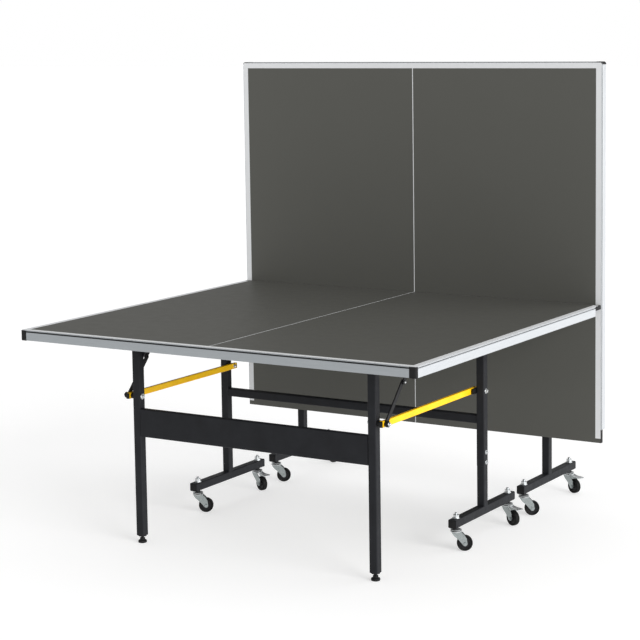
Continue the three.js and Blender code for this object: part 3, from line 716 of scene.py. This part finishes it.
def caster(half, label, side, kind, along):
    """One caster under a T-foot; along is the way from the post to its stem."""
    stem = Vector((side * POST_X, POST_Y[half] + along * CASTER_OFFSET, 0))
    turn = Matrix.Translation(stem) @ Matrix.Rotation(CASTER_HEADING[kind], 4, "Z")
    at_axle = turn @ Matrix.Translation((CASTER_TRAIL, 0, WHEEL_RADIUS))
    axle = at_axle @ Matrix.Rotation(math.radians(90), 4, "X")
    fork_body = f"{half}_{kind}_fork_{label}"
    wheel_body = f"{half}_{kind}_wheel_{label}"

    made = piece(f"{fork_body}_pressing", caster_fork(), DULL_ZINC, fork_body, turn)
    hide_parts(fork_body)
    piece(f"{fork_body}_raceway", caster_raceway(), ZINC, fork_body, turn)
    # Black rings in the caster's gaps are painted shade.
    piece(f"{fork_body}_caster_gap_shade", caster_gap_shade(), PLASTIC, fork_body, turn)
    tyre = piece(f"{wheel_body}_tyre", caster_tyre(), RUBBER, wheel_body, axle)
    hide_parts(wheel_body)
    piece(f"{wheel_body}_hub", caster_hub(), HUB_PLASTIC, wheel_body, axle)
    if kind == "braked":
        lever = f"{half}_brake_pedal_{label}"
        made = piece(f"{lever}_pressing", brake_pedal(), ZINC, lever, turn)
        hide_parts(f"{half}_braked_brake_pedal_{label}")
    top = put(stem + Vector((0, 0, TFOOT_Z[1])))
    piece(f"{half}_{kind}_stem_nut_{label}", stem_nut(), ZINC, f"{half}_trolley", top)


for half in HALVES:
    for label, side in SIDES:
        caster(half, label, side, "plain", -1)
        caster(half, label, side, "braked", 1)

# ---------------------------------------------------------------- fittings on posts and T-feet

# Each bolt through the post: its name, its height and its washer's radius.
POST_BOLTS = (("strut", BOLT_Z, 8.5 * MM), ("upper", 300 * MM, 7.5 * MM), ("lower", 265 * MM, 7.5 * MM))
SPACER_THICKNESS = 9.6 * MM         # from the post's inner face in to the strut
SPACER_HEIGHT = 18 * MM
SPACER_REACH = (-10 * MM, TUBE / 2 + 18 * MM)   # from the post's middle, away from the net
STRUT_INNER_X = 494 * MM            # inner face of the strut
POST_HEAD_HEIGHT = 5 * MM
PLUG_WIDTH = TUBE - 4.3 * MM        # fits inside the T-foot's tube
PLUG_DEPTH = 3 * MM
PLUG_INSET = 1.7 * MM               # from the tube's end to the plug's middle


def post_fittings(half, label, side):
    """Three bolt heads, the strut's spacer and nut, and the plugs in the T-foot's ends."""
    out = OUTWARD[half]
    y = POST_Y[half]
    body = f"{half}_trolley"
    for name, height, radius in POST_BOLTS:
        head = bolt_head(radius, POST_HEAD_HEIGHT)
        at_bolt = put((side * (POST_X + TUBE / 2), y, height), (side, 0, 0))
        piece(f"{half}_post_bolt_{name}_{label}", head, ZINC, body, at_bolt)

    start, end = SPACER_REACH
    size = (SPACER_THICKNESS, end - start, SPACER_HEIGHT)
    centre = (side * (POST_X - TUBE / 2 - SPACER_THICKNESS / 2), y + out * (start + end) / 2, BOLT_Z)
    spacer = block(size, centre, 1.2 * MM)
    piece(f"{half}_post_spacer_{label}", spacer, PLASTIC, body)
    at_nut = put((side * STRUT_INNER_X, y, BOLT_Z), (-side, 0, 0))
    piece(f"{half}_strut_nut_{label}", cap_nut(7.5 * MM), ZINC, body, at_nut)

    for way in (-1, 1):
        end_name = "net" if way == -out else "outer"
        plug = block((PLUG_WIDTH, PLUG_DEPTH, PLUG_WIDTH), (0, 0, 0), 0.6 * MM)
        at_end = put((side * POST_X, y + way * (TFOOT_HALF - PLUG_INSET), sum(TFOOT_Z) / 2))
        piece(f"{half}_tfoot_plug_{end_name}_{label}", plug, PLASTIC, body, at_end)


# ---------------------------------------------------------------- fittings on legs

STAY_OUTER_X = 511.3 * MM           # outer face of the lower stay
SLEEVE_BORE = 4.2 * MM
SLEEVE_RADIUS = 10 * MM
NUT_ON_BOSS = 9.2 * MM              # the nut's washer is let a little way into the boss's top
LEG_PLUG = (8.2 * MM, 14.6 * MM, 3 * MM)    # bore, outer radius and thickness
LEG_PLUG_HEIGHT = 24 * MM           # above the sole


def leg_spacer():
    """The moulded sleeve on the leg's bolt between the leg and the strut."""
    inner, outer = SLEEVE_BORE, SLEEVE_RADIUS
    top = in_mm((8, 13))
    return ring_lathe([(inner, 0), (outer, 0), (outer, 12 * MM), *top, (inner, 13 * MM)], 28)


def stay_boss():
    """The moulded boss outboard of the stay, under the leg bolt's nut."""
    inner, outer = SLEEVE_BORE, SLEEVE_RADIUS
    top = in_mm((8.6, 9.4))
    return ring_lathe([(inner, 0), (outer, 0), (outer, 8 * MM), *top, (inner, 9.4 * MM)], 32)


def levelling_foot():
    """A broad sole, an adjusting collar and the stud up into the leg."""
    sole = in_mm((0, 0), (12.5, 0), (15, 1.5), (15, 7), (13.5, 9))
    collar = in_mm((9, 11), (9, 17), (5, 17.5))
    stud = in_mm((4.6, 58), (0, 58))
    return lathe(sole + collar + stud, 36)


def leg_fittings(half, label, side):
    """The bolt through the leg, strut and stay with what it holds, and the levelling foot."""
    body = f"{half}_legs"
    leg = leg_origin(half) + Vector((side * LEG_X, 0, 0))
    bolt = leg + Vector((0, 0, BOLT_Z))
    outwards = (side, 0, 0)
    to_face = Vector((side * TUBE / 2, 0, 0))
    beyond_stay = bolt + Vector((side * (STAY_OUTER_X - LEG_X), 0, 0))
    on_boss = beyond_stay + Vector((side * NUT_ON_BOSS, 0, 0))

    at_head = put(bolt - to_face, (-side, 0, 0))
    piece(f"{half}_leg_bolt_{label}", bolt_head(10 * MM, 4.5 * MM), ZINC, body, at_head)
    at_face = put(bolt + to_face, outwards)
    piece(f"{half}_leg_spacer_{label}", leg_spacer(), PLASTIC, body, at_face)
    at_boss = put(beyond_stay, outwards)
    piece(f"{half}_stay_boss_{label}", stay_boss(), PLASTIC, body, at_boss)
    piece(f"{half}_stay_nut_{label}", cap_nut(6.8 * MM), ZINC, body, put(on_boss, outwards))

    foot_name, foot_body = f"{half}_levelling_foot_{label}", f"{half}_foot_{label}"
    foot = piece(foot_name, levelling_foot(), PLASTIC, foot_body, put(leg))
    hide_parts(f"{half}_foot_{label}")
    plug = sleeve(*LEG_PLUG)
    at_plug = put(leg + Vector((0, 0, LEG_PLUG_HEIGHT)))
    piece(f"{half}_leg_end_plug_{label}", plug, PLASTIC, body, at_plug)


for half in HALVES:
    for label, side in SIDES:
        post_fittings(half, label, side)
        leg_fittings(half, label, side)

# ---------------------------------------------------------------- plugs in the struts, rivets on the stays

RIVET_X = 515.6 * MM                # outer face of the upper stay
STAY_END_RADIUS = 8 * MM
STRUT_PLUG = (11 * MM, 5 * MM, 20 * MM)
STRUT_PLUG_OUT = 2.2 * MM           # from the tube's end to the plug's middle


def strut_plugs(half, label):
    """A moulded plug in each open end of the strut's tube, standing out of it by a few millimetres."""
    node = f"{half}_strut_{label}"
    low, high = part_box(node)
    along = Vector((0, 0, 1)) if half == "rear" else Vector((0, 1, 0))
    half_length = (high - low).dot(along) / 2
    turn = Matrix.Rotation(math.radians(90), 4, "X") if half == "rear" else Matrix.Identity(4)
    for number, way in enumerate((-1, 1)):
        flip = Matrix.Identity(4) if way > 0 else Matrix.Rotation(math.pi, 4, "Z")
        at_end = Matrix.Translation((low + high) / 2 + along * way * half_length) @ turn @ flip
        plug = block(STRUT_PLUG, (0, STRUT_PLUG_OUT, 0), 1.4 * MM)
        piece(f"{node}_plug_{number}", plug, PLASTIC, node, at_end)


def stay_rivet(half, label, side):
    """The bright head of the rivet where the two stays meet; its body is a boss on the upper stay."""
    stay = f"{half}_stay_upper_{label}"
    low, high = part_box(stay)
    y = (low.y + high.y) / 2 if half == "rear" else low.y + STAY_END_RADIUS
    z = high.z - STAY_END_RADIUS if half == "rear" else low.z + STAY_END_RADIUS
    at_rivet = put((side * RIVET_X, y, z), (side, 0, 0))
    piece(f"{stay}_rivet", cap_nut(5.4 * MM), ZINC, stay, at_rivet)


for half in HALVES:
    for label, side in SIDES:
        strut_plugs(half, label)
        stay_rivet(half, label, side)

# ---------------------------------------------------------------- floor, light and camera

FLOOR_HALF = 60.0
FLOOR_GLOW = 0.5                    # a little light of its own keeps the table's shadow on the floor faint
AMBIENT = 0.5                       # what lights the object; the backdrop behind it is seen as plain white
EYE = Vector((3415.2, -6188.8, 1773.5)) * MM    # from the net line at floor level
YAW, PITCH, ROLL = (math.radians(degrees) for degrees in (31.745, 6.551, -0.835))
FOCAL_LENGTH = 106.02               # millimetres, like the sensor's width
SENSOR_WIDTH = 36
SHIFT_Y = -0.125                    # of the picture's width
FAR_CLIP = 200


def floor():
    corners = [(x * FLOOR_HALF, y * FLOOR_HALF, 0) for x, y in ((-1, -1), (1, -1), (1, 1), (-1, 1))]
    data = bpy.data.meshes.new("floor")
    data.from_pydata(corners, [], [range(len(corners))])
    made = bpy.data.objects.new("floor", data)
    bpy.context.scene.collection.objects.link(made)
    glow = {"Emission_Color": (1, 1, 1, 1), "Emission_Strength": FLOOR_GLOW}
    look = Look("pale_floor", (0.62, 0.62, 0.62), 0.9, **glow)
    look.mottled(0.6, 2, (0.615, 0.615, 0.615), (0.625, 0.625, 0.625))
    data.materials.append(look.material)


def sky():
    """A white backdrop that gives off a weaker white light."""
    world = bpy.data.worlds.new("studio")
    bpy.context.scene.world = world
    world.use_nodes = True
    tree = world.node_tree
    backdrop = tree.nodes["Background"]
    backdrop.inputs["Color"].default_value = (1, 1, 1, 1)
    backdrop.inputs["Strength"].default_value = 1.0
    ambient = tree.nodes.new("ShaderNodeBackground")
    ambient.inputs["Color"].default_value = (1, 1, 1, 1)
    ambient.inputs["Strength"].default_value = AMBIENT
    seen = tree.nodes.new("ShaderNodeLightPath")
    either = tree.nodes.new("ShaderNodeMixShader")
    tree.links.new(seen.outputs["Is Camera Ray"], either.inputs["Fac"])
    tree.links.new(ambient.outputs["Background"], either.inputs[1])
    tree.links.new(backdrop.outputs["Background"], either.inputs[2])
    tree.links.new(either.outputs["Shader"], tree.nodes["World Output"].inputs["Surface"])


def sky_panel(name, towards, strength, spread):
    """A very large, soft light that shines evenly from one direction; spread is in degrees."""
    data = bpy.data.lights.new(name, "SUN")
    data.energy = strength
    data.angle = math.radians(spread)
    light = bpy.data.objects.new(name, data)
    light.rotation_euler = Vector(towards).to_track_quat("Z", "Y").to_euler()
    bpy.context.scene.collection.objects.link(light)


def camera():
    """Looks from the eye along +Y, turned left by the yaw, down by the pitch and then rolled."""
    ahead = Vector((-math.sin(YAW), math.cos(YAW), 0))
    level = Vector((math.cos(YAW), math.sin(YAW), 0))
    forward = ahead * math.cos(PITCH) - Vector((0, 0, math.sin(PITCH)))
    up = level.cross(forward)
    right = level * math.cos(ROLL) + up * math.sin(ROLL)
    above = up * math.cos(ROLL) - level * math.sin(ROLL)
    data = bpy.data.cameras.new("camera")
    data.sensor_width = SENSOR_WIDTH
    data.lens = FOCAL_LENGTH
    data.shift_y = SHIFT_Y
    data.clip_end = FAR_CLIP
    made = bpy.data.objects.new("camera", data)
    turn = Matrix((right, above, -forward)).transposed().to_4x4()
    made.matrix_world = Matrix.Translation(EYE + Vector((0, NET_Y, 0))) @ turn
    bpy.context.scene.collection.objects.link(made)
    bpy.context.scene.camera = made


floor()
sky()
sky_panel("key", (1.0, -0.33, 0.25), strength=3.5, spread=40)
sky_panel("overhead", (0.1, -0.2, 1.0), strength=0.3, spread=100)
sky_panel("rim", (0.75, 0.6, 0.2), strength=0.8, spread=50)
camera()
bpy.context.scene.view_settings.view_transform = "Standard"
